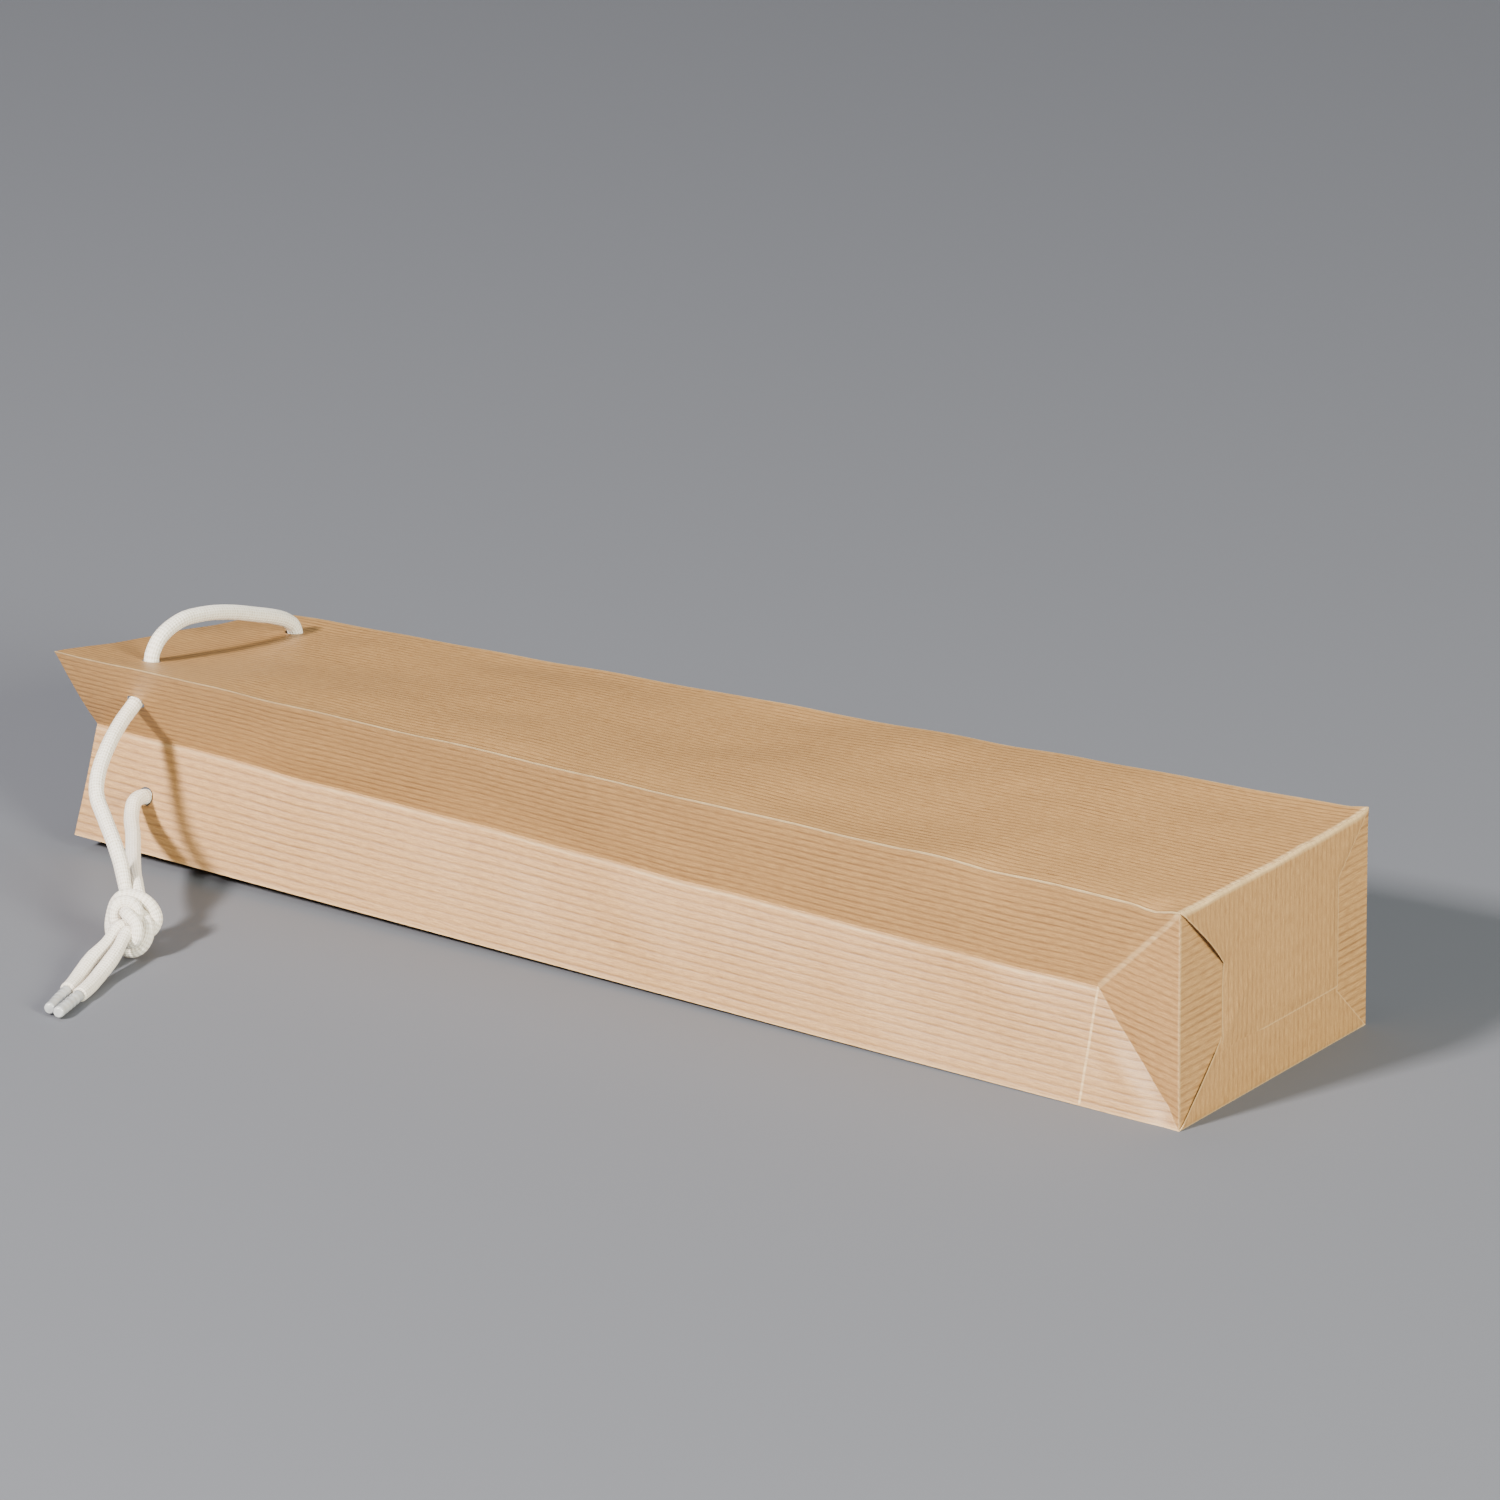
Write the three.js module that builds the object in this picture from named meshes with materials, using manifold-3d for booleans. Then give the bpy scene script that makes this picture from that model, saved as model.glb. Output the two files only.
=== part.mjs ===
// Paper bottle bag lying on its side: a gusseted kraft paper bag with a folded block bottom,
// eight punched holes at the mouth, and one cord threaded through them and knotted in front.
// Millimetres, +Z up. The bag is drawn from its mouth (x = 0) to its block bottom (x = bagLength),
// from its near side (y = 0) to its far side (y = panelWidth), and from the table (z = 0) upwards.
// At the end the whole group moves, so that the origin is under the middle of the bag.

import * as THREE from 'three';
import { mergeVertices } from 'three/addons/utils/BufferGeometryUtils.js';
import Module from 'manifold-3d';

const wasm = await Module();
wasm.setup();

// The bag, as it was made
const bagLength = 380;
const panelWidth = 95;
const gussetWidth = 65.6;
const paperThickness = 0.3;
const blockHeight = 63.8;

// The bag, as it lies: the near top fold flares out at the mouth and the far side droops
const nearFoldFlare = 6.5;
const nearFoldMouthHeight = 63.5;
const farFoldPullIn = 6;
const farFoldMouthHeight = 48;
const mouthSkew = 5;
const undersideSagPower = 1.3;
const bodyStations = 8;

// The flaps that close the block bottom
const nearStripWidth = 21;
const farStripWidth = 15;
const topFlapRawEdgeHeight = 16.5;
const layerBite = 0.05;

// The punched holes, one through all four layers at each side of the flat bag
const holeDiameter = 6.4;
const holeFromMouth = 21.5;
const holeFromFold = 16;
const holeSides = 20;
const punchReach = 1.5;

// The cord, its knot and the sleeves on its ends
const cordDiameter = 4.4;
const cordSides = 10;
const cordClearance = 0.3;
const tableClearance = 0.1;
const handleSteps = 66;
const tailSteps = 7;
const knotCentre = new THREE.Vector3(62.2, -55.1, 9.8);
const knotAxis = new THREE.Vector3(0.42, -0.66, -0.62).normalize();
const knotLength = 24;
const knotWidth = 16;
const knotSides = 16;
const agletLength = 14;
const agletDiameter = 3.5;
const agletWall = 0.35;
const agletTipWall = 1.5;
const coreDiameter = 2.2;

const cordRadius = cordDiameter / 2;
const gussetHalf = gussetWidth / 2;
const kinkFromMouth = bagLength - gussetHalf;
const undersideAtHoles = cordDiameter + cordClearance + tableClearance;

// Geometry helpers

function solidOf(geometry) {
  const bare = geometry.clone();
  bare.deleteAttribute('normal');
  bare.deleteAttribute('uv');
  const merged = mergeVertices(bare, 1e-4);
  return new wasm.Manifold(new wasm.Mesh({
    numProp: 3,
    vertProperties: new Float32Array(merged.attributes.position.array),
    triVerts: new Uint32Array(merged.index.array),
  }));
}

function geometryOf(solid) {
  const mesh = solid.getMesh();
  const geometry = new THREE.BufferGeometry();
  geometry.setAttribute('position', new THREE.BufferAttribute(mesh.vertProperties, 3));
  geometry.setIndex(new THREE.BufferAttribute(mesh.triVerts, 1));
  geometry.computeVertexNormals();
  return geometry;
}

// Rings all have the same number of points, counterclockwise seen from +X. In the last span the
// flipped edges of the ring get the other diagonal.
function loft(rings, flippedInLastSpan) {
  const count = rings[0].length;
  const positions = rings.flat().flatMap((p) => [p.x, p.y, p.z]);
  const faces = [];
  for (let i = 0; i + 1 < rings.length; i += 1) {
    for (let j = 0; j < count; j += 1) {
      const a = i * count + j;
      const b = i * count + (j + 1) % count;
      const c = b + count;
      const d = a + count;
      const flip = i + 2 === rings.length && flippedInLastSpan.includes(j);
      faces.push(...(flip ? [a, b, d, b, c, d] : [a, b, c, a, c, d]));
    }
  }
  const outline = rings[0].map((p) => new THREE.Vector2(p.y, p.z));
  const last = (rings.length - 1) * count;
  for (const [a, b, c] of THREE.ShapeUtils.triangulateShape(outline, [])) {
    faces.push(a, c, b);
  }
  const endOutline = rings.at(-1).map((p) => new THREE.Vector2(p.y, p.z));
  for (const [a, b, c] of THREE.ShapeUtils.triangulateShape(endOutline, [])) {
    faces.push(last + a, last + b, last + c);
  }
  const geometry = new THREE.BufferGeometry();
  geometry.setAttribute('position', new THREE.Float32BufferAttribute(positions, 3));
  geometry.setIndex(faces);
  return geometry;
}

// The ring moved inwards by the paper's thickness
function insetRing(ring, distance) {
  return ring.map((p, i) => {
    const before = ring[(i + ring.length - 1) % ring.length];
    const after = ring[(i + 1) % ring.length];
    const n1 = inwardNormal(before, p);
    const n2 = inwardNormal(p, after);
    const share = distance / (1 + n1.dot(n2));
    return p.clone().add(n1.add(n2).multiplyScalar(share));
  });
}

function inwardNormal(from, to) {
  return new THREE.Vector3(0, from.z - to.z, to.y - from.y).normalize();
}

// A flat outline in the plane of the block bottom, made solid from one x to another
function endPlate(outline, fromX, toX) {
  const shape = new THREE.Shape(outline.map(([y, z]) => new THREE.Vector2(y, z)));
  const plate = new THREE.ExtrudeGeometry(shape, { depth: toX - fromX, bevelEnabled: false });
  const axes = new THREE.Matrix4().makeBasis(
    new THREE.Vector3(0, 1, 0),
    new THREE.Vector3(0, 0, 1),
    new THREE.Vector3(1, 0, 0),
  );
  return plate.applyMatrix4(axes).translate(fromX, 0, 0);
}

// The bag's sections

function undersideHeight(x) {
  return undersideAtHoles * ((bagLength - x) / (bagLength - holeFromMouth)) ** undersideSagPower;
}

// The fold at the middle of a gusset: each half keeps its width, so the closer its two outer
// folds lie, the deeper the gusset goes into the bag.
function gussetFold(top, bottom, inwards) {
  const chord = new THREE.Vector3().subVectors(top, bottom);
  const depth = Math.sqrt(Math.max(gussetHalf ** 2 - (chord.length() / 2) ** 2, 0));
  const normal = new THREE.Vector3(0, chord.z, -chord.y).normalize().multiplyScalar(inwards);
  return new THREE.Vector3().addVectors(top, bottom).multiplyScalar(0.5).addScaledVector(normal, depth);
}

// Near top fold, near gusset fold, near bottom fold, far bottom fold, far gusset fold, far top fold
function section(x) {
  const toEnd = x / bagLength;
  const skewed = (y) => x + (1 - toEnd) * mouthSkew * y / panelWidth;
  const point = (y, z) => new THREE.Vector3(skewed(y), y, z);
  const mix = THREE.MathUtils.lerp;
  const underside = undersideHeight(x);
  const nearTop = point(mix(-nearFoldFlare, 0, toEnd), mix(nearFoldMouthHeight, blockHeight, toEnd));
  const farTop = point(
    mix(panelWidth - farFoldPullIn, panelWidth, toEnd),
    mix(farFoldMouthHeight, blockHeight, toEnd),
  );
  const nearBottom = point(0, underside);
  const farBottom = point(panelWidth, underside);
  const nearFold = gussetFold(nearTop, nearBottom, 1);
  const farFold = gussetFold(farTop, farBottom, -1);
  return [nearTop, nearFold, nearBottom, farBottom, farFold, farTop];
}

// At the block bottom the gussets are pulled out flat
function endSection(x) {
  const corner = (y, z) => new THREE.Vector3(x, y, z);
  return [
    corner(0, blockHeight),
    corner(0, blockHeight / 2),
    corner(0, 0),
    corner(panelWidth, 0),
    corner(panelWidth, blockHeight / 2),
    corner(panelWidth, blockHeight),
  ];
}

const stations = Array.from({ length: bodyStations + 1 }, (_, i) => kinkFromMouth * i / bodyStations);
const foldNames = ['near top', 'near fold', 'near bottom', 'far bottom', 'far fold', 'far top'];
const [NEAR_TOP, NEAR_FOLD, NEAR_BOTTOM, FAR_BOTTOM, FAR_FOLD, FAR_TOP] = foldNames.keys();
const pulledOut = [NEAR_TOP, FAR_BOTTOM];

function bagShell() {
  const outerRings = [...stations.map(section), endSection(bagLength)];
  const innerEnd = endSection(bagLength - paperThickness);
  const innerRings = [...stations.map(section), innerEnd].map((r) => insetRing(r, paperThickness));
  const beyondMouth = innerRings[0].map((p, i) => {
    const outwards = new THREE.Vector3().subVectors(p, innerRings[1][i]).normalize();
    return p.clone().addScaledVector(outwards, paperThickness + mouthSkew);
  });
  const outer = solidOf(loft(outerRings, pulledOut));
  const inner = solidOf(loft([beyondMouth, ...innerRings.slice(1)], pulledOut));
  return outer.subtract(inner);
}

// Its upper edge lies under the top flap
function bottomFlap() {
  const nearEdge = nearStripWidth;
  const farEdge = panelWidth - farStripWidth;
  const hiddenEdge = blockHeight - nearStripWidth;
  const outline = [
    [0, 0],
    [panelWidth, 0],
    [farEdge, farStripWidth],
    [farEdge, hiddenEdge],
    [nearEdge, hiddenEdge],
    [nearEdge, nearStripWidth],
  ];
  return solidOf(endPlate(outline, bagLength - layerBite, bagLength + paperThickness));
}

function topFlap() {
  const nearEdge = nearStripWidth;
  const farEdge = panelWidth - farStripWidth;
  const outline = [
    [0, blockHeight],
    [nearEdge, blockHeight - nearStripWidth],
    [nearEdge, topFlapRawEdgeHeight],
    [farEdge, topFlapRawEdgeHeight],
    [farEdge, blockHeight - farStripWidth],
    [panelWidth, blockHeight],
  ];
  return solidOf(endPlate(outline, bagLength - layerBite, bagLength + 2 * paperThickness));
}

// The middle of a hole on the panel between a side fold and its neighbour
function holeCentre(foldIndex, neighbourIndex) {
  const ring = section(holeFromMouth);
  const along = new THREE.Vector3().subVectors(ring[neighbourIndex], ring[foldIndex]);
  return ring[foldIndex].clone().addScaledVector(along.normalize(), holeFromFold);
}

function punch(foldIndex, neighbourIndex) {
  const ring = section(holeFromMouth);
  const normal = inwardNormal(ring[foldIndex], ring[neighbourIndex]);
  const cutter = new THREE.CylinderGeometry(
    holeDiameter / 2,
    holeDiameter / 2,
    2 * punchReach,
    holeSides,
  );
  const upright = new THREE.Vector3(0, 1, 0);
  cutter.applyQuaternion(new THREE.Quaternion().setFromUnitVectors(upright, normal));
  const centre = holeCentre(foldIndex, neighbourIndex);
  return solidOf(cutter.translate(centre.x, centre.y, centre.z));
}

const punchedPanels = [
  [NEAR_TOP, FAR_TOP],
  [NEAR_TOP, NEAR_FOLD],
  [NEAR_BOTTOM, NEAR_FOLD],
  [NEAR_BOTTOM, FAR_BOTTOM],
  [FAR_BOTTOM, NEAR_BOTTOM],
  [FAR_BOTTOM, FAR_FOLD],
  [FAR_TOP, FAR_FOLD],
  [FAR_TOP, NEAR_TOP],
];

function paperBag() {
  let bag = bagShell().add(bottomFlap()).add(topFlap());
  for (const [fold, neighbour] of punchedPanels) {
    bag = bag.subtract(punch(fold, neighbour));
  }
  return geometryOf(bag);
}

// The cord's route, chosen by hand: from the knot up to the near gusset, through it and the top
// panel, over in a low arch, down through the far side, back under the bag and out to the knot.
const handleRoute = [
  [62.2, -55.1, 9.8],
  [55.9, -49.9, 16.6],
  [53.0, -45.8, 19.6],
  [46.9, -41.5, 25.4],
  [39.4, -36.1, 29.8],
  [32.6, -31.0, 34.3],
  [28.8, -24.9, 38.5],
  [25.6, -15.6, 43.5],
  [22.7, -5.5, 46.9],
  [21.6, 1.9, 49.6],
  [21.7, 6.6, 53.2],
  [21.9, 9.3, 57.4],
  [22.0, 10.0, 62.0],
  [22.1, 13.6, 66.0],
  [22.4, 22.9, 68.5],
  [23.2, 33.5, 67.6],
  [23.9, 44.4, 64.9],
  [24.6, 55.3, 61.1],
  [25.1, 64.5, 57.6],
  [25.2, 69.4, 56.1],
  [25.3, 72.8, 53.1],
  [25.4, 74.0, 48.8],
  [25.4, 75.0, 43.0],
  [25.4, 77.6, 37.3],
  [25.5, 82.2, 32.9],
  [25.6, 85.2, 27.4],
  [25.7, 85.0, 21.0],
  [25.6, 82.4, 14.6],
  [25.5, 79.8, 8.8],
  [25.5, 79.3, 5.0],
  [25.4, 77.9, 2.8],
  [25.3, 74.4, 2.3],
  [24.8, 62.0, 2.3],
  [23.8, 46.0, 2.3],
  [22.9, 32.0, 2.3],
  [22.4, 20.8, 2.3],
  [22.3, 17.2, 2.8],
  [22.2, 15.6, 5.0],
  [22.0, 14.6, 9.6],
  [21.9, 10.8, 15.4],
  [21.8, 5.2, 20.0],
  [22.6, -0.6, 20.4],
  [26.0, -6.6, 18.2],
  [32.6, -14.6, 16.8],
  [42.4, -27.4, 15.6],
  [52.2, -39.6, 15.9],
  [59.0, -46.2, 15.4],
  [62.2, -55.1, 9.8],
];

const leftTailRoute = [
  [62.2, -55.1, 9.8],
  [61.3, -63.0, 8.2],
  [62.2, -70.9, 5.2],
  [64.6, -81.8, 2.8],
  [66.3, -86.9, 2.25],
  [68.0, -92.2, 2.25],
];

const rightTailRoute = [
  [62.2, -55.1, 9.8],
  [67.2, -63.8, 8.4],
  [67.8, -70.4, 5.2],
  [69.5, -79.6, 2.8],
  [71.5, -86.8, 2.25],
  [72.9, -92.8, 2.25],
];

function routeCurve(route) {
  return new THREE.CatmullRomCurve3(route.map((p) => new THREE.Vector3(...p)), false, 'centripetal');
}

function roundSection(radius, sides) {
  const corners = Array.from({ length: sides }, (_, i) => {
    const angle = 2 * Math.PI * i / sides;
    return new THREE.Vector2(radius * Math.cos(angle), radius * Math.sin(angle));
  });
  return new THREE.Shape(corners);
}

function tube(curve, radius, steps) {
  const options = { steps, extrudePath: curve, bevelEnabled: false };
  return solidOf(new THREE.ExtrudeGeometry(roundSection(radius, cordSides), options));
}

// The knot's outer shape, longer along the cord than across it
function knotBody(margin) {
  const body = new THREE.SphereGeometry(1, knotSides, knotSides / 2);
  const halfWidth = knotWidth / 2 + margin;
  body.scale(halfWidth, knotLength / 2 + margin, halfWidth);
  body.applyQuaternion(new THREE.Quaternion().setFromUnitVectors(new THREE.Vector3(0, 1, 0), knotAxis));
  return solidOf(body.translate(knotCentre.x, knotCentre.y, knotCentre.z));
}

function handleCord() {
  return geometryOf(tube(routeCurve(handleRoute), cordRadius, handleSteps).subtract(knotBody(cordClearance)));
}

function tailEnd(route) {
  const curve = routeCurve(route);
  return { at: curve.getPoint(1), along: curve.getTangent(1).setZ(0).normalize() };
}

// The thin end of the cord that the sleeve holds
function coreInSleeve(route) {
  const { at, along } = tailEnd(route);
  const start = at.clone().addScaledVector(along, -cordRadius);
  const coreEnd = cordClearance + agletLength - agletTipWall - cordClearance;
  const end = at.clone().addScaledVector(along, coreEnd);
  return tube(new THREE.LineCurve3(start, end), coreDiameter / 2, 1);
}

function cordTail(route) {
  const tail = tube(routeCurve(route), cordRadius, tailSteps);
  return geometryOf(tail.add(coreInSleeve(route)).subtract(knotBody(cordClearance)));
}

// A sleeve with a closed, slightly rounded tip, open towards the cord
function aglet(route) {
  const outer = agletDiameter / 2;
  const bore = outer - agletWall;
  const profile = [
    [bore, 0],
    [outer, 0],
    [outer, agletLength - agletTipWall / 2],
    [outer - agletTipWall / 2, agletLength],
    [0, agletLength],
    [0, agletLength - agletTipWall],
    [bore, agletLength - agletTipWall],
    [bore, 0],
  ].map(([radius, height]) => new THREE.Vector2(radius, height));
  const { at, along } = tailEnd(route);
  const sleeve = new THREE.LatheGeometry(profile, cordSides + cordSides / 2 + 1);
  sleeve.applyQuaternion(new THREE.Quaternion().setFromUnitVectors(new THREE.Vector3(0, 1, 0), along));
  const start = at.clone().addScaledVector(along, cordClearance);
  sleeve.translate(start.x, start.y, start.z);
  return geometryOf(solidOf(sleeve));
}

// Materials

const kraftPaper = new THREE.MeshStandardMaterial({
  color: 0xc39a6b,
  roughness: 0.62,
  metalness: 0,
  flatShading: true,
});
const cotton = new THREE.MeshStandardMaterial({ color: 0xe9e2d3, roughness: 0.9, metalness: 0 });
const clearPlastic = new THREE.MeshStandardMaterial({ color: 0xc9cbc6, roughness: 0.25, metalness: 0 });

function named(name, geometry, material) {
  const mesh = new THREE.Mesh(geometry, material.clone());
  mesh.name = name;
  return mesh;
}

const bagGeometry = paperBag();
const bottleBag = new THREE.Group();
bottleBag.add(
  named('paper_bag', bagGeometry, kraftPaper),
  named('handle_cord', handleCord(), cotton),
  named('cord_knot', geometryOf(knotBody(0)), cotton),
  named('cord_tail_left', cordTail(leftTailRoute), cotton),
  named('cord_tail_right', cordTail(rightTailRoute), cotton),
  named('aglet_left', aglet(leftTailRoute), clearPlastic),
  named('aglet_right', aglet(rightTailRoute), clearPlastic),
);

// The origin goes under the middle of the bag
bagGeometry.computeBoundingBox();
const middle = bagGeometry.boundingBox.getCenter(new THREE.Vector3());
bottleBag.position.set(-middle.x, -middle.y, -bagGeometry.boundingBox.min.z);

export default bottleBag;
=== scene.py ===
import math

import bpy
import numpy as np
from mathutils import Matrix, Vector, noise

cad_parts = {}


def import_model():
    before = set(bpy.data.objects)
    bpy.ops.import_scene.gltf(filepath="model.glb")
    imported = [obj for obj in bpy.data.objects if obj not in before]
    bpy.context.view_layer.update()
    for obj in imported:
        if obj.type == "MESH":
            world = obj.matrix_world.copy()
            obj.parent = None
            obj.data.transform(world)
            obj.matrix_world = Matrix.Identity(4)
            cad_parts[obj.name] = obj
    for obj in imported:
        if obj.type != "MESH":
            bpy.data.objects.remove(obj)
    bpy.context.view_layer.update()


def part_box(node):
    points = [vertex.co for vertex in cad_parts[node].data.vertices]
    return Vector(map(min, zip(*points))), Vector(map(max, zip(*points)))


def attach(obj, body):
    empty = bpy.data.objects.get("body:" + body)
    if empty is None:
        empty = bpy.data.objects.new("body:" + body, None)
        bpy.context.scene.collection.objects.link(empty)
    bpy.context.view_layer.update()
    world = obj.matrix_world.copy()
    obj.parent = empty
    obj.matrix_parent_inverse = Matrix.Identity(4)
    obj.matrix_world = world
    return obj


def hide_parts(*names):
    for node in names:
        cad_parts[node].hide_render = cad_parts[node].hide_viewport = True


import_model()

# The bag is drawn in millimetres from its mouth (x = 0), its near side (y = 0) and the table
# (z = 0), as in the CAD source, and then moved so that the origin is under its middle.
MM = 0.001
BAG_LENGTH = 380.0
PANEL_WIDTH = 95.0
GUSSET_WIDTH = 65.6
GUSSET_HALF = GUSSET_WIDTH / 2
BLOCK_HEIGHT = 63.8
PAPER = 0.3
NEAR_FLARE = 6.5
NEAR_MOUTH_HEIGHT = 63.5
FAR_PULL_IN = 6.0
FAR_MOUTH_HEIGHT = 48.0
MOUTH_SKEW = 5.0
UNDERSIDE_AT_HOLES = 4.8
UNDERSIDE_POWER = 1.3
HOLE_FROM_MOUTH = 21.5
HOLE_FROM_FOLD = 16.0
HOLE_DIAMETER = 5.6
NEAR_STRIP = 21.0
FAR_STRIP = 15.0
RAW_EDGE_HEIGHT = 16.5
KINK = BAG_LENGTH - GUSSET_HALF

bag_low, bag_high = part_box("paper_bag")
SHIFT = np.array([
    bag_high[0] / MM - BAG_LENGTH - 2 * PAPER,
    bag_high[1] / MM - PANEL_WIDTH,
    bag_low[2] / MM,
])


def world(point):
    """A drawn point, in millimetres, as a point of the row frame in metres."""
    return Vector((np.asarray(point, float) + SHIFT) * MM)


# Camera, from the bag's corners in the photograph
CAMERA_POINT = (2218.7, -2830.6, 1383.2)
CAMERA_YAW = math.radians(-34.985)
CAMERA_PITCH = math.radians(20.646)
CAMERA_ROLL = math.radians(-0.337)
SENSOR = 36.0
FOCAL_PIXELS = 13344.0
IMAGE_PIXELS = 1500.0


def make_camera():
    forward = Vector((
        math.sin(CAMERA_YAW) * math.cos(CAMERA_PITCH),
        math.cos(CAMERA_YAW) * math.cos(CAMERA_PITCH),
        -math.sin(CAMERA_PITCH),
    ))
    level = Vector((math.cos(CAMERA_YAW), -math.sin(CAMERA_YAW), 0.0))
    upright = level.cross(forward)
    right = math.cos(CAMERA_ROLL) * level + math.sin(CAMERA_ROLL) * upright
    up = math.cos(CAMERA_ROLL) * upright - math.sin(CAMERA_ROLL) * level
    data = bpy.data.cameras.new("camera")
    data.sensor_width = SENSOR
    data.lens = SENSOR * FOCAL_PIXELS / IMAGE_PIXELS
    data.clip_end = 50.0
    camera = bpy.data.objects.new("camera", data)
    turn = Matrix((right, up, -forward)).transposed().to_4x4()
    camera.matrix_world = Matrix.Translation(world(CAMERA_POINT)) @ turn
    bpy.context.scene.collection.objects.link(camera)
    bpy.context.scene.camera = camera


make_camera()

# The cord's route, in millimetres as drawn

CORD_DIAMETER = 4.4
CORD_RADIUS = CORD_DIAMETER / 2

LEFT_STRAND = [
    (53.0, -45.8, 19.6),
    (46.9, -41.5, 25.4),
    (39.4, -36.1, 29.8),
    (32.6, -31.0, 34.3),
    (28.8, -24.9, 38.5),
    (25.6, -15.6, 43.5),
    (22.7, -5.5, 46.9),
]
HELD_STRETCH = [
    (21.6, 1.9, 49.6),
    (21.7, 6.6, 53.2),
    (21.9, 9.3, 57.4),
    (22.0, 10.0, 62.0),
    (22.1, 13.6, 66.0),
    (22.4, 22.9, 68.5),
    (23.2, 33.5, 67.6),
    (23.9, 44.4, 64.9),
    (24.6, 55.3, 61.1),
    (25.1, 64.5, 57.6),
    (25.2, 69.0, 55.4),
    (25.3, 72.8, 52.4),
    (25.4, 74.0, 48.8),
    (25.4, 75.0, 43.0),
    (25.4, 77.6, 37.3),
    (25.5, 82.2, 32.9),
    (25.6, 85.2, 27.4),
    (25.7, 85.0, 21.0),
    (25.6, 82.4, 14.6),
    (25.5, 79.8, 8.8),
    (25.5, 79.3, 5.0),
    (25.4, 77.9, 2.8),
    (25.3, 74.4, 2.3),
    (24.8, 62.0, 2.3),
    (23.8, 46.0, 2.3),
    (22.9, 32.0, 2.3),
    (22.4, 20.8, 2.3),
    (22.3, 17.2, 2.8),
    (22.2, 15.6, 5.0),
    (22.0, 14.6, 9.6),
    (21.9, 10.8, 15.4),
    (21.8, 5.2, 20.0),
]
RIGHT_STRAND = [
    (22.6, -0.6, 20.4),
    (26.0, -6.6, 18.2),
    (32.6, -14.6, 16.8),
    (42.4, -27.4, 15.6),
    (52.2, -39.6, 15.9),
]
LEFT_TAIL = [
    (62.2, -70.9, 5.2),
    (64.6, -81.8, 2.8),
    (66.3, -86.9, 2.25),
    (68.0, -92.2, 2.25),
]
RIGHT_TAIL = [
    (67.8, -70.4, 5.2),
    (69.5, -79.6, 2.8),
    (71.5, -86.8, 2.25),
    (72.9, -92.8, 2.25),
]

# The overhand knot, tied with both strands together: the middle of the pair and the way from the
# left strand to the right one, in the knot's own axes (right, along the cord, towards the front).
KNOT_CENTRE = Vector((62.2, -55.1, 9.8))
KNOT_AXIS = Vector((0.42, -0.66, -0.62)).normalized()
KNOT_RIGHT = Vector((0.844, 0.537, 0.0)).normalized()
KNOT_FRONT = KNOT_AXIS.cross(KNOT_RIGHT)
PAIR_HALF_GAP = 1.8
KNOT_PAIR = [
    ((0.0, -10.8, -0.5), (1.0, 0.0, 0.0)),
    ((0.6, -6.8, -1.6), (1.0, 0.0, 0.2)),
    ((1.8, -2.4, -0.2), (0.95, 0.0, -0.1)),
    ((3.2, 1.8, 2.8), (0.85, 0.0, -0.5)),
    ((4.2, 5.8, 2.4), (0.75, 0.35, -0.5)),
    ((2.4, 7.6, -1.2), (0.2, 0.9, -0.3)),
    ((-2.4, 4.8, -3.2), (-0.5, 0.6, -0.6)),
    ((-5.0, 0.4, -2.2), (-0.65, 0.0, -0.75)),
    ((-4.9, -4.4, 1.4), (-0.7, -0.6, -0.3)),
    ((-1.6, -6.8, 3.8), (-0.1, -0.99, 0.1)),
    ((3.2, -5.8, 3.6), (0.55, -0.8, 0.0)),
    ((5.8, -1.2, 0.4), (0.8, 0.0, -0.5)),
    ((5.0, 2.6, -3.0), (0.5, 0.4, -0.75)),
    ((1.2, 2.2, -1.8), (0.0, 0.85, -0.5)),
    ((-1.4, 4.0, 1.6), (0.6, 0.75, 0.2)),
    ((-2.9, 7.6, 3.6), (0.76, 0.48, 0.42)),
]
# The knot is pulled tight: how narrow it is, and how thin the cord is squeezed inside it
KNOT_NARROWING = 0.76
CORD_SQUEEZE = 0.84
SQUEEZED_WITHIN = (11.0, 18.0)

# How the strands settle. TOUCHING is a share of their two radii, and a strand is held apart only
# from what lies further off along it than NEIGHBOURS_APART.
SETTLE_ROUNDS = 90
TOUCHING = 0.966
NEIGHBOURS_APART = 7.0
KNOT_REACH = 19.0
FREE_FADE = 4.0
PUSH_SHARE = 0.16
LONGEST_PUSH = 0.35
SMOOTHING = 0.4
RESTING_HEIGHT = 2.25
SETTLED_EVERY = 4
TIGHTEST_BEND = 2.4
EASE_ROUNDS = 60
EASE_SHARE = 0.3
TINY = 1e-9


def mix(low, high, share):
    return low + (high - low) * share


def knot_point(place):
    right, along, front = place
    return KNOT_CENTRE + right * KNOT_RIGHT + along * KNOT_AXIS + front * KNOT_FRONT


def knot_strand(side):
    """One of the two strands of the knot: side is -1 for the left one, 1 for the right one."""
    points = []
    for (right, along, front), across in KNOT_PAIR:
        offset = Vector(across).normalized() * PAIR_HALF_GAP * side
        middle = Vector((right * KNOT_NARROWING, along, front * KNOT_NARROWING))
        points.append(tuple(knot_point(middle + offset)))
    return points


def cord_radius(points):
    """The cord's radius at each point, thinner in the knot than outside it."""
    reach = np.linalg.norm(np.asarray(points) - np.array(KNOT_CENTRE), axis=1)
    return CORD_RADIUS * np.interp(reach, SQUEEZED_WITHIN, (CORD_SQUEEZE, 1.0))


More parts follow.
